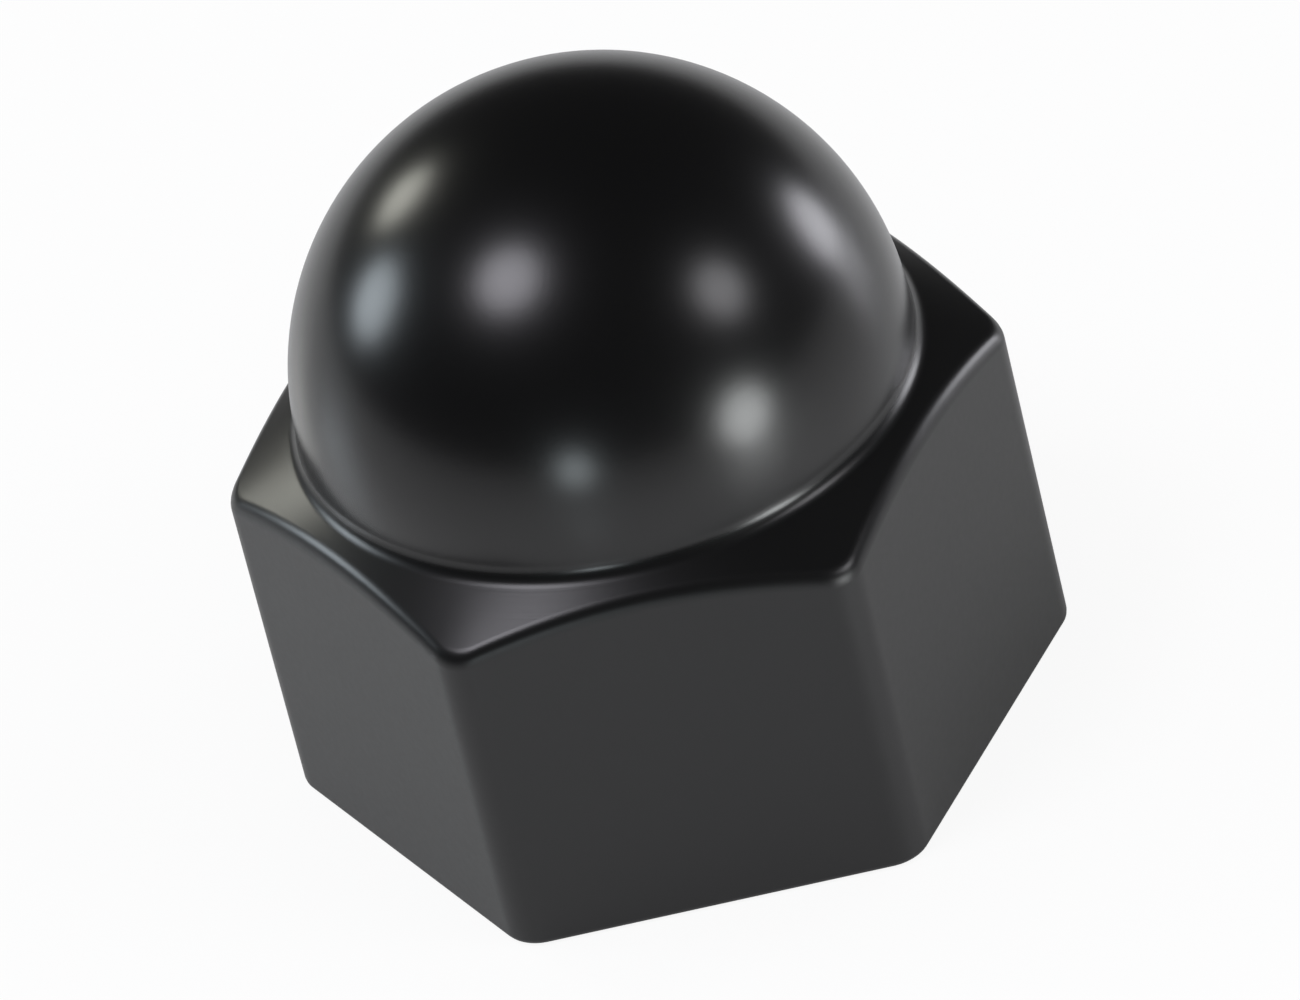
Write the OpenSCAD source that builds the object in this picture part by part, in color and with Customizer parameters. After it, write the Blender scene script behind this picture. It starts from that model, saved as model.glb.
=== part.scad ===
// Domed cap for a wheel nut: a hexagonal skirt that pushes over the nut, a cone on top of the
// skirt that cuts an arch into each flat, and a dome that covers the end of the stud.
// It is one moulding. It stands on its rim with +Z up, one flat faces -Y, and the origin is at
// the middle of the rim.

/* [Nut that the cap fits] */
// Width across the flats of the nut
nut_across_flats = 19; // [17:0.5:24]
// Gap between each flat of the nut and the socket
nut_gap = 0.1; // [0.05:0.05:0.4]

/* [Skirt] */
// Thickness of the skirt's six walls
skirt_wall = 1.4; // [1.1:0.1:2.4]
// Height of a flat at its middle, up to where the cone would cut it sharp
skirt_h = 12.4; // [10:0.1:18]
// Slope of the cone on top of the skirt, in degrees below level
cone_slope = 28; // [20:1:35]
// Rounding of the six upright edges
corner_r = 1.4; // [1:0.1:2.2]
// Rounding of the arched edges between the flats and the cone
arch_r = 0.7; // [0.3:0.05:0.9]
// Rounding of the rim's outer edge
rim_r = 0.25; // [0.1:0.05:0.4]

/* [Dome] */
// How far the dome's wall stands in from the middle of each flat
dome_setback = 1.1; // [0.9:0.1:2.5]
// Fillet where the dome grows out of the cone
foot_r = 0.7; // [0.3:0.05:0.9]
// Straight part of the dome's wall, between the fillet and the half ball
dome_straight = 0.1; // [0.05:0.05:3]

/* [Inside] */
// Thickness of the skirt's roof, measured square to the cone
roof_wall = 1.6; // [1.2:0.1:2.4]
// Thickness of the dome
dome_wall = 1.6; // [1.2:0.1:2.6]
// Rounding of the socket's six upright corners
socket_corner_r = 0.8; // [0.3:0.1:1.2]
// Depth and width of the bevel that leads the nut in
lead_in = 0.5; // [0.2:0.1:0.7]
// Radius of the rib on each wall of the socket
rib_r = 0.6; // [0.4:0.1:1]
// How deep each rib bites into the room of the nut
rib_bite = 0.1; // [0:0.05:0.2]
// Distance from the rim to the foot of each rib
rib_start = 2.5; // [1.5:0.1:4]
// Height of each rib
rib_h = 6; // [3:0.5:6.5]

/* [Hidden] */
$fa = 2;
$fs = 0.2;

sides = 6;
turn = 360 / sides;

// How far a cut runs past the face that it opens
past = 0.01;

// Inscribed radius of the socket, and of the skirt around it
socket_a = nut_across_flats / 2 + nut_gap;
skirt_a = socket_a + skirt_wall;
dome_r = skirt_a - dome_setback;
hollow_r = dome_r - dome_wall;

// A radius beyond every corner of the skirt
clear_r = 1.2 * skirt_a;

// Heights of the cone and of the socket's roof at a distance from the axis
function cone_z(r) = skirt_h + (skirt_a - r) * tan(cone_slope);
function roof_z(r) = cone_z(r) - roof_wall / cos(cone_slope);

// Centre of the foot's fillet, which touches the dome's wall and the cone
foot_x = dome_r + foot_r;
foot_z = cone_z(foot_x) + foot_r / cos(cone_slope);
dome_z = foot_z + dome_straight;
top_z = dome_z + dome_r;

// A hexagon of inscribed radius a, with corners rounded by r: where the centres of its rounds
// are, and half the length of its straight sides
function corner_x(a, r) = (a - r) / cos(turn / 2);
function half_side(a, r) = (a - r) * tan(turn / 2);

module round_hexagon(a, r) {
    polygon([
        for (k = [0 : sides - 1], s = [-half_side(a, r), half_side(a, r)])
            let (t = turn * (k + 0.5))
            [a * cos(t) - s * sin(t), a * sin(t) + s * cos(t)]
    ]);
    for (k = [0 : sides - 1])
        rotate(turn * k) translate([corner_x(a, r), 0]) circle(r);
}

// Carries a section along the straight sides of that hexagon, drawn with X out of the wall
module along_the_sides(a, r) {
    for (k = [0 : sides - 1])
        rotate(turn * (k + 0.5))
            translate([a, 0, 0])
            rotate([90, 0, 0])
            linear_extrude(2 * half_side(a, r), center = true) children();
}

// Puts a shape at the centre of each of its rounds, with +X out of the corner
module at_the_corners(a, r) {
    for (k = [0 : sides - 1])
        rotate(turn * k) translate([corner_x(a, r), 0, 0]) children();
}

// Half of a dome's section: a straight wall from the rim's level, and a quarter of a ball
module dome_section(r) {
    square([r, dome_z]);
    intersection() {
        translate([0, dome_z]) circle(r);
        square([r, dome_z + r]);
    }
}

// Half of a section that fills everything below a cone, given by its height at a radius
module under_cone(z_axis, z_clear) {
    polygon([[0, -past], [clear_r, -past], [clear_r, z_clear], [0, z_axis]]);
}

// What stands between the dome's wall and the cone, scooped out to the fillet
module foot_section() {
    difference() {
        polygon([
            [dome_r, cone_z(dome_r)],
            [foot_x - foot_r * sin(cone_slope), foot_z - foot_r * cos(cone_slope)],
            [foot_x, foot_z],
            [dome_r, foot_z]
        ]);
        translate([foot_x, foot_z]) circle(foot_r);
    }
}

// The outside before its edges are rounded: a hexagonal bar, turned to the cone and the dome
module blank() {
    intersection() {
        linear_extrude(top_z) round_hexagon(skirt_a, corner_r);
        rotate_extrude() {
            under_cone(cone_z(0), cone_z(clear_r));
            foot_section();
            dome_section(dome_r);
        }
    }
}

// The rim's outer edge and the arched edges are rounded by a ball. It rolls round the inside of
// the skirt, against its wall and the rim or its wall and the cone, and a ring of sections cuts
// away what lies outside it. These are the steps round each corner, along each arch and over
// the edge.
corner_steps = 5;
arch_steps = 10;
over_steps = 4;

// How far the first and last chords of a section run on into the open
spill = 0.3;

// Stations round the skirt's wall, first round a corner and then along the next flat. Each is
// a point of the wall, at the rim's level, and the way that the wall faces there.
function facing(t) = [cos(t), sin(t), 0];
function station(k, t, share) =
    let (along = share * 2 * half_side(skirt_a, corner_r))
    [
        corner_x(skirt_a, corner_r) * facing(turn * k) + corner_r * facing(t) + along * facing(t + 90),
        facing(t)
    ];
function stations(flat_steps) = [
    for (k = [0 : sides - 1]) each [
        for (j = [0 : corner_steps - 1]) station(k, turn * (k - 0.5 + j / corner_steps), 0),
        for (j = [0 : flat_steps - 1]) station(k, turn * (k + 0.5), j / flat_steps)
    ]
];

// A point on a ball of radius r, on its way from direction a at s = 0 to direction b at s = 1
function on_ball(centre, r, a, b, s) =
    let (w = acos(a * b))
    centre + r * (a * sin((1 - s) * w) + b * sin(s * w)) / sin(w);

// The line from p through q, run on by d
function run_on(p, q, d) = q + (q - p) * d / norm(q - p);

// The waste outside a ball that touches one surface in direction a and the other in direction b
function waste_section(centre, r, a, b) =
    let (step = 1 / over_steps)
    [
        run_on(on_ball(centre, r, a, b, step), centre + r * a, spill),
        for (s = [step : step : 1 - step / 2]) on_ball(centre, r, a, b, s),
        run_on(on_ball(centre, r, a, b, 1 - step), centre + r * b, spill),
        centre + (a + b) * (r / (1 + a * b) + spill)
    ];

// Joins sections into a closed ring
module ring(sections) {
    n = len(sections[0]);
    polyhedron(
        points = [for (section = sections) each section],
        faces = [
            for (i = [0 : len(sections) - 1], j = [0 : n - 1])
                let (here = i * n, next = (i + 1) % len(sections) * n, j2 = (j + 1) % n)
                each [[here + j, here + j2, next + j2], [here + j, next + j2, next + j]]
        ]
    );
}

// The ball touches the rim below it and the wall beside it
module rim_edge() {
    ring([
        for (s = stations(1))
            waste_section(s[0] + rim_r * ([0, 0, 1] - s[1]), rim_r, [0, 0, -1], s[1])
    ]);
}

// The ball touches the wall beside it and the cone above it
module arched_edges() {
    ring([
        for (s = stations(arch_steps))
            let (
                p = s[0] - arch_r * s[1],
                away = p / norm(p),
                centre = p + [0, 0, cone_z(norm(p)) - arch_r / cos(cone_slope)],
                to_cone = away * sin(cone_slope) + [0, 0, cos(cone_slope)]
            )
            waste_section(centre, arch_r, s[1], to_cone)
    ]);
}

// One rib up the middle of each wall of the socket, pointed at its foot so that the nut
// slides past it
module ribs() {
    rib_x = socket_a - nut_gap - rib_bite + rib_r;
    for (k = [0 : sides - 1])
        rotate(turn * (k + 0.5)) translate([rib_x, 0, rib_start]) {
            cylinder(h = rib_r, r1 = 0, r2 = rib_r);
            translate([0, 0, rib_r]) cylinder(h = rib_h - rib_r, r = rib_r);
        }
}

// The socket for the nut, under a roof that runs along the cone, with a bevel at its mouth
module socket() {
    difference() {
        intersection() {
            translate([0, 0, -past]) linear_extrude(top_z) round_hexagon(socket_a, socket_corner_r);
            rotate_extrude() under_cone(roof_z(0), roof_z(clear_r));
        }
        ribs();
    }
    mouth_bevel();
}

// The bevel that leads the nut in: a sloping strip along each wall, and a cone in each corner
module mouth_bevel() {
    along_the_sides(socket_a, socket_corner_r)
        polygon([
            [-socket_corner_r, -past],
            [lead_in + past, -past],
            [0, lead_in],
            [-socket_corner_r, lead_in]
        ]);
    at_the_corners(socket_a, socket_corner_r)
        translate([0, 0, -past])
        cylinder(h = lead_in + past, r1 = socket_corner_r + lead_in + past, r2 = socket_corner_r);
}

module nut_cap() {
    color([0.06, 0.06, 0.065])
        difference() {
            blank();
            rim_edge();
            arched_edges();
            socket();
            rotate_extrude() dome_section(hollow_r);
        }
}

nut_cap();
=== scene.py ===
# %% [markdown]
# # A domed cap for a wheel nut
# The cap in this scene is one black plastic moulding: a hexagonal skirt that pushes over a wheel
# nut, a cone that cuts an arch into each flat, and a polished dome over the end of the stud.
# The CAD part is loaded first as a fixed frame. It could be shown as it is, but its surface is a
# mesh of flat triangles, and a polished dome shows each of them. So the cap is modelled again
# here, smooth, at the same sizes, and it stands for the CAD node.

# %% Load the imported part
import math

import bpy
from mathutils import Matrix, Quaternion, Vector


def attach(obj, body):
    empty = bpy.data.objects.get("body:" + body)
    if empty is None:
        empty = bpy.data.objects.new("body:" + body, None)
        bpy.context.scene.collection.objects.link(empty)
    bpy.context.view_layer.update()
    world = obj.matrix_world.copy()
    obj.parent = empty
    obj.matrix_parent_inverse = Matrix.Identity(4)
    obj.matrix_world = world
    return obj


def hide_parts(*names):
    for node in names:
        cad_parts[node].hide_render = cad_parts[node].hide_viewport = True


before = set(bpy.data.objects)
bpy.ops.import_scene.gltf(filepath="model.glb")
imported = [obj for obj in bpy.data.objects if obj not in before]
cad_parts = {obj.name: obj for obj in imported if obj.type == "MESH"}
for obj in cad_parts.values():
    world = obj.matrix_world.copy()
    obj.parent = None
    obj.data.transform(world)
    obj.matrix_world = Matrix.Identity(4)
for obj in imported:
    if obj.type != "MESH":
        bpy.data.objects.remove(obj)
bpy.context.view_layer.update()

MM = 0.001

# %% [markdown]
# ## Sizes
# These are the sizes of the CAD part. The radii of a hexagon are given to its flats, and a
# height is measured from the rim. The cone falls away from the dome at SLOPE below level, so
# its height follows from the distance to the axis.

# %% Sizes of the cap
FLAT = 11.0 * MM
CORNER_ROUND = 1.4 * MM
SKIRT_HEIGHT = 12.4 * MM
SLOPE = math.radians(28)
ARCH_ROUND = 0.7 * MM
RIM_ROUND = 0.25 * MM
DOME = 9.9 * MM
DOME_STRAIGHT = 0.1 * MM
FOOT_ROUND = 0.7 * MM
ROOF_WALL = 1.6 * MM
HOLLOW = 8.3 * MM
SOCKET = 9.6 * MM
SOCKET_ROUND = 0.8 * MM
LEAD_IN = 0.5 * MM

SIDES = 6
TURN = 2 * math.pi / SIDES
COLUMNS = 600
CLEAR = 14 * MM
TINY = 1e-6


def cone_height(radius):
    return SKIRT_HEIGHT + (FLAT - radius) * math.tan(SLOPE)


def roof_height(radius):
    return cone_height(radius) - ROOF_WALL / math.cos(SLOPE)


FOOT_X = DOME + FOOT_ROUND
FOOT_Z = cone_height(FOOT_X) + FOOT_ROUND / math.cos(SLOPE)
DOME_Z = FOOT_Z + DOME_STRAIGHT
print(f"dome centre {DOME_Z / MM:.3f} mm, top {(DOME_Z + DOME) / MM:.3f} mm above the rim")

# %% [markdown]
# ## Helpers for modelling
# An operator acts on whatever is selected, and the loaded CAD nodes start out selected. So each
# step first clears the selection, then picks vertices or edges in code, by where they are.


# %% Helpers for modelling
def fresh(piece=None):
    """Deselects everything, then selects one piece and makes it active."""
    bpy.ops.object.select_all(action="DESELECT")
    if piece:
        piece.select_set(True)
        bpy.context.view_layer.objects.active = piece


def new_piece(name):
    """Names the primitive that was just added, and puts its place into its mesh."""
    piece = bpy.context.object
    piece.name = piece.data.name = name
    bpy.ops.object.transform_apply(location=True, rotation=True, scale=True)
    return piece


def pick(piece, test, kind="VERT"):
    """Enters edit mode with the vertices, or the edges by both their ends, that pass a test."""
    fresh(piece)
    bpy.ops.object.mode_set(mode="EDIT")
    bpy.ops.mesh.select_mode(type=kind)
    bpy.ops.mesh.select_all(action="DESELECT")
    bpy.ops.object.mode_set(mode="OBJECT")
    places = [v.co for v in piece.data.vertices]
    if kind == "VERT":
        for vertex in piece.data.vertices:
            vertex.select = test(vertex.co)
        picked = sum(v.select for v in piece.data.vertices)
    else:
        for edge in piece.data.edges:
            edge.select = test(*(places[i] for i in edge.vertices))
        picked = sum(e.select for e in piece.data.edges)
    bpy.ops.object.mode_set(mode="EDIT")
    return picked


def leave():
    bpy.ops.object.mode_set(mode="OBJECT")


def close_up(piece):
    """Merges doubles and turns every face outwards."""
    pick(piece, lambda place: True)
    bpy.ops.mesh.remove_doubles(threshold=0.0001 * MM)
    bpy.ops.mesh.normals_make_consistent(inside=False)
    leave()


def finish_with(piece, kind, **settings):
    """Adds a modifier and applies it."""
    fresh(piece)
    modifier = piece.modifiers.new(kind, kind)
    for name, value in settings.items():
        setattr(modifier, name, value)
    bpy.ops.object.modifier_apply(modifier=modifier.name)


def remove(piece):
    fresh(piece)
    bpy.ops.object.delete()


def radius_of(place):
    return math.hypot(place.x, place.y)


def across(place):
    """Distance from the axis towards the nearest flat."""
    turns = [TURN * (k + 0.5) for k in range(SIDES)]
    return max(place.x * math.cos(t) + place.y * math.sin(t) for t in turns)


def round_profile(turn):
    """The bevel's shape value that makes a true arc where the surface turns by this angle."""
    half = turn / 2
    bulge = (1 - math.cos(half)) / (1 / math.cos(half) - math.cos(half))
    return (0.5 + 0.5 * bulge) ** 2


# %% [markdown]
# ## The hexagonal bar
# The six flats and the rounded uprights between them are the outline of a hexagonal bar. A
# six-sided cylinder gives the flats, and a bevel on its upright edges rounds them. A bevel's
# width is measured along the flat, so it is the arc's radius times the tangent of half the
# angle that the wall turns there. The bar is only a guide, and so is the one for the socket.


# %% Hexagonal bars
def hexagonal_bar(name, flat, corner, low, high, segments):
    fresh()
    bpy.ops.mesh.primitive_cylinder_add(
        vertices=SIDES,
        radius=flat / math.cos(TURN / 2),
        depth=high - low,
        location=(0, 0, (high + low) / 2),
        rotation=(0, 0, TURN / 2),
    )
    bar = new_piece(name)
    pick(bar, lambda a, b: abs(a.z - b.z) > TINY, "EDGE")
    bpy.ops.mesh.bevel(
        offset=corner * math.tan(TURN / 2),
        offset_type="OFFSET",
        segments=segments,
        profile=round_profile(TURN),
        affect="EDGES",
    )
    leave()
    return bar


bar = hexagonal_bar("bar_guide", FLAT, CORNER_ROUND, -2 * MM, 20 * MM, 24)
print(f"across the bar's corners {bar.dimensions.x / MM:.2f} mm")

# %% [markdown]
# ## The skirt's wall
# The wall could be cut from the bar, but a cut leaves long crooked faces along the arches, and
# they shade badly. Here a round tube of many narrow columns is shrunk onto the bar instead:
# each column slides straight in to the bar's surface and keeps its own direction from the axis.
# Its top ring is then dropped onto the cone, and that draws the six arches.

# %% The skirt's wall
fresh()
bpy.ops.mesh.primitive_cylinder_add(
    vertices=COLUMNS, radius=CLEAR, depth=10 * MM, location=(0, 0, 5 * MM), end_fill_type="NOTHING"
)
cap = new_piece("dome_nut_cap")
finish_with(
    cap,
    "SHRINKWRAP",
    target=bar,
    wrap_method="PROJECT",
    use_negative_direction=True,
    use_positive_direction=False,
)
remove(bar)

cone_drop = CLEAR * math.tan(SLOPE)
fresh()
bpy.ops.mesh.primitive_cone_add(
    vertices=2 * COLUMNS,
    radius1=CLEAR,
    radius2=0,
    depth=cone_drop,
    location=(0, 0, cone_height(CLEAR) + cone_drop / 2),
    end_fill_type="NOTHING",
)
cone = new_piece("cone_guide")
brim = cap.vertex_groups.new(name="brim")
brim.add([v.index for v in cap.data.vertices if v.co.z > 5 * MM], 1.0, "REPLACE")
finish_with(
    cap,
    "SHRINKWRAP",
    target=cone,
    wrap_method="PROJECT",
    use_project_z=True,
    use_negative_direction=True,
    vertex_group="brim",
)
remove(cone)
cap.vertex_groups.clear()
arch = [v.co.z / MM for v in cap.data.vertices if v.co.z > 5 * MM]
print(f"arches rise from {min(arch):.2f} mm at the corners to {max(arch):.2f} mm mid-flat")

# %% [markdown]
# ## The crown
# The dome and the fillet at its foot are round about the axis, so they are turned, as on a
# lathe. A sphere primitive would serve for the dome alone. A spun profile takes the fillet
# along, and it has the same number of columns as the wall, so the two fit edge to edge. The
# profile is a quarter of a circle, drawn on downwards through the straight and the fillet.

# %% The crown's profile
DOME_STEPS = 48
FILLET_STEPS = 10

fresh()
bpy.ops.mesh.primitive_circle_add(
    vertices=4 * DOME_STEPS, radius=DOME, location=(0, 0, DOME_Z), rotation=(math.pi / 2, 0, 0)
)
crown = new_piece("crown")
pick(crown, lambda place: place.x < -TINY or place.z < DOME_Z - TINY)
bpy.ops.mesh.delete(type="VERT")
leave()

fillet_sweep = math.pi / 2 - SLOPE
profile = [
    Vector((
        FOOT_X + FOOT_ROUND * math.cos(math.pi + fillet_sweep * i / FILLET_STEPS),
        0,
        FOOT_Z + FOOT_ROUND * math.sin(math.pi + fillet_sweep * i / FILLET_STEPS),
    ))
    for i in range(FILLET_STEPS + 1)
]
pick(crown, lambda place: place.z < DOME_Z + TINY)
here = Vector((DOME, 0, DOME_Z))
for place in profile:
    bpy.ops.mesh.extrude_region_move(TRANSFORM_OT_translate={"value": place - here})
    here = place
leave()
print(f"crown's profile has {len(crown.data.vertices)} points and ends {here.z / MM:.3f} mm up")

# %% Turn the crown
pick(crown, lambda place: True)
bpy.ops.mesh.spin(steps=COLUMNS, angle=2 * math.pi, center=(0, 0, 0), axis=(0, 0, 1))
leave()
close_up(crown)
print(f"turned crown has {len(crown.data.polygons)} faces")

# %% [markdown]
# ## The cone
# Between the arches and the foot of the dome lies the cone. Both of its edges are rings of as
# many points, at the same directions from the axis, and a straight line between two of them
# lies in the cone. So bridging the two rings makes the cone exactly.

# %% Join the wall and the crown by the cone
fresh(crown)
cap.select_set(True)
bpy.context.view_layer.objects.active = cap
bpy.ops.object.join()


def on_arch(place):
    return across(place) > FLAT - 0.7 * MM and abs(place.z - cone_height(radius_of(place))) < TINY


def on_foot(place):
    return abs(radius_of(place) - profile[-1].x) < TINY and abs(place.z - profile[-1].z) < TINY


pick(cap, lambda a, b: on_arch(a) and on_arch(b) or on_foot(a) and on_foot(b), "EDGE")
faces_before = len(cap.data.polygons)
bpy.ops.mesh.bridge_edge_loops()
leave()
print(f"the cone has {len(cap.data.polygons) - faces_before} faces")

# %% [markdown]
# ## Rounded edges
# Nothing that comes out of a mould has a knife edge. The arched edges are rounded by 0.7 mm,
# and they catch the thin lines of light above the flats. The rim's outer edge is rounded by
# less. Both are bevels along a closed loop of edges.

# %% Round the arched edges and the rim
ARCH_TURN = math.radians(63.5)

pick(cap, lambda a, b: on_arch(a) and on_arch(b), "EDGE")
bpy.ops.mesh.bevel(
    offset=ARCH_ROUND * math.tan(ARCH_TURN / 2),
    offset_type="OFFSET",
    segments=6,
    profile=round_profile(ARCH_TURN),
    affect="EDGES",
    clamp_overlap=False,
)
leave()


def at_the_rim(a, b):
    return a.z < TINY and b.z < TINY


pick(cap, at_the_rim, "EDGE")
bpy.ops.mesh.edge_face_add()
leave()
pick(cap, at_the_rim, "EDGE")
bpy.ops.mesh.bevel(
    offset=RIM_ROUND, offset_type="OFFSET", segments=4, profile=0.5, affect="EDGES", clamp_overlap=False
)
leave()
close_up(cap)
print(f"outside: {len(cap.data.polygons)} faces, {cap.dimensions.z / MM:.3f} mm high")

# %% [markdown]
# ## The core
# In the mould a core fills what will be the inside: the hexagonal socket under a sloping roof,
# and the round hollow of the dome. It is built as a solid and cut out of the cap in one go, as
# the plastic would set around it. The grip ribs are grooves in the core.


# %% The socket's part of the core
def combine(piece, other, operation):
    finish_with(piece, "BOOLEAN", object=other, operation=operation, solver="EXACT")
    remove(other)


core = hexagonal_bar("core", SOCKET, SOCKET_ROUND, -1 * MM, 18 * MM, 8)

roof_drop = roof_height(0) - roof_height(CLEAR)
fresh()
bpy.ops.mesh.primitive_cone_add(
    vertices=240,
    radius1=CLEAR,
    radius2=0,
    depth=roof_drop,
    location=(0, 0, roof_height(CLEAR) + roof_drop / 2),
)
roof = new_piece("roof")
pick(roof, lambda place: place.z < roof_height(CLEAR) + TINY)
bpy.ops.mesh.extrude_region_move(
    TRANSFORM_OT_translate={"value": (0, 0, -3 * MM - roof_height(CLEAR))}
)
leave()
close_up(roof)
combine(core, roof, "INTERSECT")
print(f"core of the socket reaches {max(v.co.z for v in core.data.vertices) / MM:.2f} mm up")

# %% The hollow of the dome
fresh()
bpy.ops.mesh.primitive_uv_sphere_add(
    segments=120, ring_count=48, radius=HOLLOW, location=(0, 0, DOME_Z)
)
hollow = new_piece("hollow")
pick(hollow, lambda place: place.z < DOME_Z - TINY)
bpy.ops.mesh.delete(type="VERT")
leave()
pick(hollow, lambda a, b: max(a.z, b.z) < DOME_Z + TINY, "EDGE")
bpy.ops.mesh.extrude_region_move(TRANSFORM_OT_translate={"value": (0, 0, 8 * MM - DOME_Z)})
bpy.ops.mesh.edge_face_add()
leave()
close_up(hollow)
combine(core, hollow, "UNION")

# %% The grip ribs
RIB = 0.6 * MM
RIB_X = 10.0 * MM
RIB_START = 2.5 * MM
RIB_HEIGHT = 6.0 * MM

fresh()
bpy.ops.mesh.primitive_cylinder_add(
    vertices=48,
    radius=RIB,
    depth=RIB_HEIGHT - RIB,
    location=(RIB_X, 0, RIB_START + (RIB_HEIGHT + RIB) / 2),
)
ribs = new_piece("ribs")
pick(ribs, lambda place: place.z < RIB_START + RIB + TINY)
bpy.ops.mesh.extrude_region_move(TRANSFORM_OT_translate={"value": (0, 0, -RIB)})
bpy.ops.mesh.merge(type="CENTER")
bpy.ops.mesh.select_all(action="SELECT")
bpy.ops.mesh.normals_make_consistent(inside=False)
bpy.ops.transform.rotate(value=TURN / 2, orient_axis="Z", center_override=(0, 0, 0))
for k in range(SIDES - 1):
    bpy.ops.mesh.duplicate()
    bpy.ops.transform.rotate(value=TURN, orient_axis="Z", center_override=(0, 0, 0))
leave()
combine(core, ribs, "DIFFERENCE")
print(f"core with {SIDES} grooves has {len(core.data.polygons)} faces")

# %% Cut the core out, and bevel the mouth
combine(cap, core, "DIFFERENCE")
close_up(cap)


def at_the_mouth(a, b):
    return all(abs(place.z) < TINY and across(place) < SOCKET + TINY for place in (a, b))


mouth = pick(cap, at_the_mouth, "EDGE")
bpy.ops.mesh.bevel(
    offset=LEAD_IN, offset_type="OFFSET", segments=1, affect="EDGES", clamp_overlap=False
)
leave()
print(f"bevelled {mouth} edges round the mouth")

# %% [markdown]
# ## Smooth shading
# Faces that meet at a small angle are shaded as one surface. On its own that would bend the
# light far into the flats, because a corner's normal is a mean of all the faces round it. The
# weighted normals let the large flat faces win, so the flats look flat up to their edges.

# %% Smooth shading
fresh(cap)
bpy.ops.object.shade_smooth_by_angle(angle=math.radians(32))
finish_with(cap, "WEIGHTED_NORMAL", mode="FACE_AREA", weight=50, keep_sharp=True)
print(f"finished cap: {sum(len(p.vertices) - 2 for p in cap.data.polygons)} triangles")

# %% [markdown]
# ## Writing shader maths as expressions
# A material's pattern is arithmetic on the place of a point. Each node is one step of it, and
# this small class adds the nodes as an expression is read, so `1 - mask` is a Math node.


# %% Sockets as values
class Value:
    """A number that varies over the surface: an output socket, with Python's arithmetic."""

    def __init__(self, tree, socket):
        self.tree = tree
        self.socket = socket

    def math(self, operation, *others):
        node = self.tree.add("ShaderNodeMath", operation=operation)
        for entry, value in zip(node.inputs, (self, *others)):
            self.tree.feed(entry, value)
        return Value(self.tree, node.outputs[0])

    def __add__(self, other):
        return self.math("ADD", other)

    def __sub__(self, other):
        return self.math("SUBTRACT", other)

    def __rsub__(self, other):
        return (self * -1) + other

    def __mul__(self, other):
        return self.math("MULTIPLY", other)

    def __truediv__(self, other):
        return self.math("DIVIDE", other)

    def __pow__(self, other):
        return self.math("POWER", other)

    __radd__ = __add__
    __rmul__ = __mul__


class Tree:
    """A material's or the world's node tree, with one method that adds any node."""

    def __init__(self, owner):
        owner.use_nodes = True
        self.nodes = owner.node_tree.nodes
        self.links = owner.node_tree.links
        self.nodes.clear()

    def add(self, kind, inputs=None, **settings):
        node = self.nodes.new(kind)
        for name, value in settings.items():
            setattr(node, name, value)
        for name, value in (inputs or {}).items():
            self.feed(node.inputs[name], value)
        return node

    def feed(self, entry, value):
        if isinstance(value, Value):
            value = value.socket
        if isinstance(value, bpy.types.NodeSocket):
            self.links.new(value, entry)
        else:
            entry.default_value = value

    def value(self, node, output=0):
        return Value(self, node.outputs[output])

    def blend(self, value, low, high):
        """0 below low, 1 above high, and smooth in between."""
        node = self.add(
            "ShaderNodeMapRange",
            {"Value": value, "From Min": low, "From Max": high},
            interpolation_type="SMOOTHSTEP",
        )
        return self.value(node)

    def noise(self, vector, scale, detail=2.0, roughness=0.5):
        node = self.add(
            "ShaderNodeTexNoise",
            {"Vector": vector, "Scale": scale, "Detail": detail, "Roughness": roughness},
        )
        return self.value(node)


# %% [markdown]
# ## The plastic
# The cap is black all through, and only its finish changes. The mould is polished where it
# makes the dome, was turned where it makes the cone and has a satin grain where it makes the
# flats. All three follow from one number, the height of a point above the cone: above 0 is the
# dome, 0 is the cone, and below 0 are the flats and the inside. A mask for each comes from it.

# %% Black plastic
PLASTIC = (0.0030, 0.0030, 0.0032, 1)
DOME_GLOSS = 0.26
CONE_GLOSS = 0.30
FLAT_GLOSS = 0.42

plastic = bpy.data.materials.new("black_plastic")
tree = Tree(plastic)
place = tree.add("ShaderNodeTexCoord").outputs["Object"]
in_mm = tree.add("ShaderNodeVectorMath", {0: place, "Scale": 1 / MM}, operation="SCALE").outputs[0]
xyz = tree.add("ShaderNodeSeparateXYZ", {0: in_mm})
x, y, z = (tree.value(xyz, axis) for axis in "XYZ")
away = (x * x + y * y) ** 0.5
above_cone = z - (cone_height(0) / MM - away * math.tan(SLOPE))
on_dome = tree.blend(above_cone, 0.02, 0.25)
on_flat = 1 - tree.blend(above_cone, -0.25, -0.02)
on_cone = 1 - on_dome - on_flat

mottle = tree.noise(in_mm, 4.0, 3.0) - 0.5
grain = tree.noise(in_mm, 6.0, 2.0) - 0.5
along_cone = tree.add("ShaderNodeCombineXYZ", {"X": away, "Y": 0.0, "Z": 0.0}).outputs[0]
streak = tree.noise(along_cone, 14.0, 3.0, 0.6) - 0.5

rough = DOME_GLOSS * on_dome + CONE_GLOSS * on_cone + FLAT_GLOSS * on_flat
rough = rough + mottle * 0.06 * on_flat
height = grain * 0.0012 * on_dome + mottle * 0.0010 * on_flat + streak * 0.0020 * on_cone
bump = tree.add("ShaderNodeBump", {"Height": height, "Distance": MM, "Strength": 1.0})
shader = tree.add(
    "ShaderNodeBsdfPrincipled",
    {"Base Color": PLASTIC, "Roughness": rough, "IOR": 1.5, "Normal": bump.outputs[0]},
)
tree.add("ShaderNodeOutputMaterial", {"Surface": shader.outputs[0]})
cap.data.materials.clear()
cap.data.materials.append(plastic)
print(f"plastic: {len(tree.nodes)} nodes")

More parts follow.
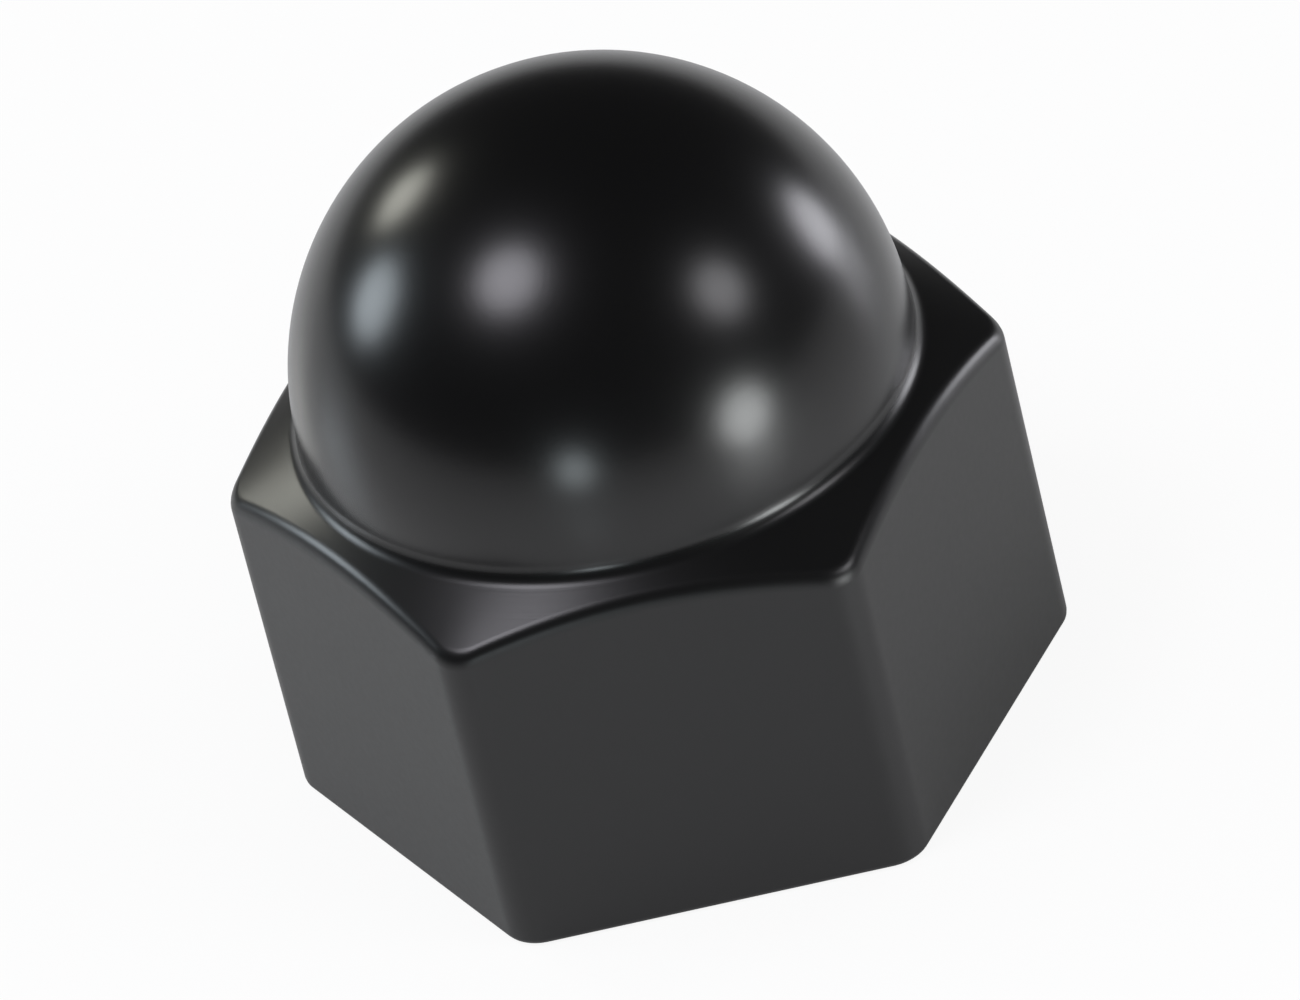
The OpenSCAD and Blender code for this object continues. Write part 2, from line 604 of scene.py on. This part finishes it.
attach(cap, "root")
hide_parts("nut_cap")

# %% [markdown]
# ## The floor
# The cap stands on a plain white floor with a slight gloss. For the camera it is mostly a
# plain white, so that the background stays clean and only a trace of the shadow shows. Seen
# from below it is clear, so that the inside of the cap can be looked at.

# %% The floor
FLOOR_WHITE = 0.88
FLOOR_SHARE = 0.90

fresh()
bpy.ops.mesh.primitive_plane_add(size=6)
floor = new_piece("floor")
paper = bpy.data.materials.new("white_floor")
tree = Tree(paper)
rays = tree.add("ShaderNodeLightPath")
seen = tree.value(rays, "Is Camera Ray").math("MAXIMUM", tree.value(rays, "Is Transmission Ray"))
glossy = tree.value(rays, "Is Glossy Ray")
surface = tree.add(
    "ShaderNodeBsdfPrincipled",
    {"Base Color": (FLOOR_WHITE,) * 3 + (1,), "Roughness": 0.25, "IOR": 1.45},
)
white = tree.add("ShaderNodeEmission", {"Color": (1, 1, 1, 1), "Strength": 1.0})
mixed = tree.add(
    "ShaderNodeMixShader",
    {0: seen * FLOOR_SHARE + glossy * 0.2, 1: surface.outputs[0], 2: white.outputs[0]},
)
below = tree.add("ShaderNodeNewGeometry").outputs["Backfacing"]
clear = tree.add("ShaderNodeBsdfTransparent")
sided = tree.add("ShaderNodeMixShader", {0: below, 1: mixed.outputs[0], 2: clear.outputs[0]})
tree.add("ShaderNodeOutputMaterial", {"Surface": sided.outputs[0]})
floor.data.materials.append(paper)
print("floor laid")

# %% [markdown]
# ## Light
# A polished black dome shows little but its lamps. Each soft spot on it is one round lamp, and
# where the spot lies tells where the lamp stood: the line of sight, mirrored at the dome. So
# each lamp is given by its direction from the spot, and it is as wide as it looks from there.
# The two lowest stand close to the cap, so that they clear the floor. The room itself is dark
# where it is mirrored, and it still fills the shadows a little.

# %% Lamps
FAR = 450 * MM
NEAR = 70 * MM
LAMPS = {
    # name: (the spot's place, azimuth, elevation, width in degrees, distance, radiance, colour)
    "left_high": ((-5.0, -1.1, 21.9), 129.6, 23.9, 15, FAR, 7.5, (1.0, 1.0, 0.9)),
    "left_low": ((-6.2, -3.6, 20.4), 158.8, 19.6, 20, FAR, 8.0, (0.88, 0.98, 1.05)),
    "overhead": ((-1.9, -5.5, 21.5), -152.1, 63.1, 22, FAR, 8.5, (1.0, 0.98, 1.06)),
    "right_high": ((4.4, -6.2, 19.9), -22.5, 34.5, 18, FAR, 6.0, (1.0, 0.99, 1.03)),
    "right_back": ((7.6, -3.0, 19.1), 27.4, 5.2, 18, FAR, 8.5, (0.99, 0.99, 1.05)),
    "front_right": ((4.3, -8.4, 16.6), -43.1, -2.6, 20, NEAR, 12.0, (0.97, 1.0, 1.0)),
    "front": ((-1.2, -9.3, 16.6), -105.3, 0.0, 12, NEAR, 8.0, (0.9, 1.0, 1.04)),
}


def add_lamp(name, spot, azimuth, elevation, width, distance, radiance, colour):
    a, e = math.radians(azimuth), math.radians(elevation)
    way = Vector((math.cos(a) * math.cos(e), math.sin(a) * math.cos(e), math.sin(e)))
    size = 2 * distance * math.tan(math.radians(width) / 2)
    fresh()
    bpy.ops.object.light_add(type="AREA", location=Vector(spot) * MM + way * distance)
    lamp = bpy.context.object
    lamp.name = "lamp_" + name
    lamp.rotation_euler = way.to_track_quat("Z", "Y").to_euler()
    lamp.data.shape = "DISK"
    lamp.data.size = size
    lamp.data.color = colour
    lamp.data.energy = radiance * math.pi * math.pi * (size / 2) ** 2
    lamp.visible_camera = False
    return lamp


for name, values in LAMPS.items():
    add_lamp(name, *values)
print(f"{len(LAMPS)} lamps")

# %% The room
ROOM_MIRRORED = 0.04
ROOM_FILL = 0.5

room = bpy.data.worlds.new("room")
bpy.context.scene.world = room
tree = Tree(room)
rays = tree.add("ShaderNodeLightPath")
seen = tree.value(rays, "Is Camera Ray").math("MAXIMUM", tree.value(rays, "Is Transmission Ray"))
fill = tree.value(rays, "Is Diffuse Ray")
strength = ROOM_MIRRORED + seen * (1 - ROOM_MIRRORED) + fill * (ROOM_FILL - ROOM_MIRRORED)
sky = tree.add("ShaderNodeBackground", {"Color": (1, 1, 1, 1), "Strength": strength})
tree.add("ShaderNodeOutputWorld", {"Surface": sky.outputs[0]})

# %% [markdown]
# ## The camera
# The photograph was taken with a long lens from well above the cap, and turned a little about
# the line of sight, so that the cap seems to lean. The camera gets the same place and turn.

# %% Camera
AZIMUTH = math.radians(2.811)
ELEVATION = math.radians(36.703)
ROLL = math.radians(-14.121)
DISTANCE = 429.45 * MM
AIM = Vector((0, 0, 13.2 * MM))
SIDEWAYS = 1.417 * MM
UPWARDS = -4.001 * MM
LENS = 378.6

back = Vector((
    math.sin(AZIMUTH) * math.cos(ELEVATION),
    -math.cos(AZIMUTH) * math.cos(ELEVATION),
    math.sin(ELEVATION),
))
turned = back.to_track_quat("Z", "Y") @ Quaternion((0, 0, 1), ROLL)
fresh()
bpy.ops.object.camera_add(
    location=AIM + back * DISTANCE + turned @ Vector((SIDEWAYS, UPWARDS, 0)),
    rotation=turned.to_euler(),
)
camera = bpy.context.object
camera.name = "camera"
camera.data.lens = LENS
camera.data.sensor_width = 36
camera.data.clip_start = 10 * MM
bpy.context.scene.camera = camera
bpy.context.scene.view_settings.view_transform = "Standard"
print("camera at", [round(c / MM, 1) for c in camera.location], "mm")
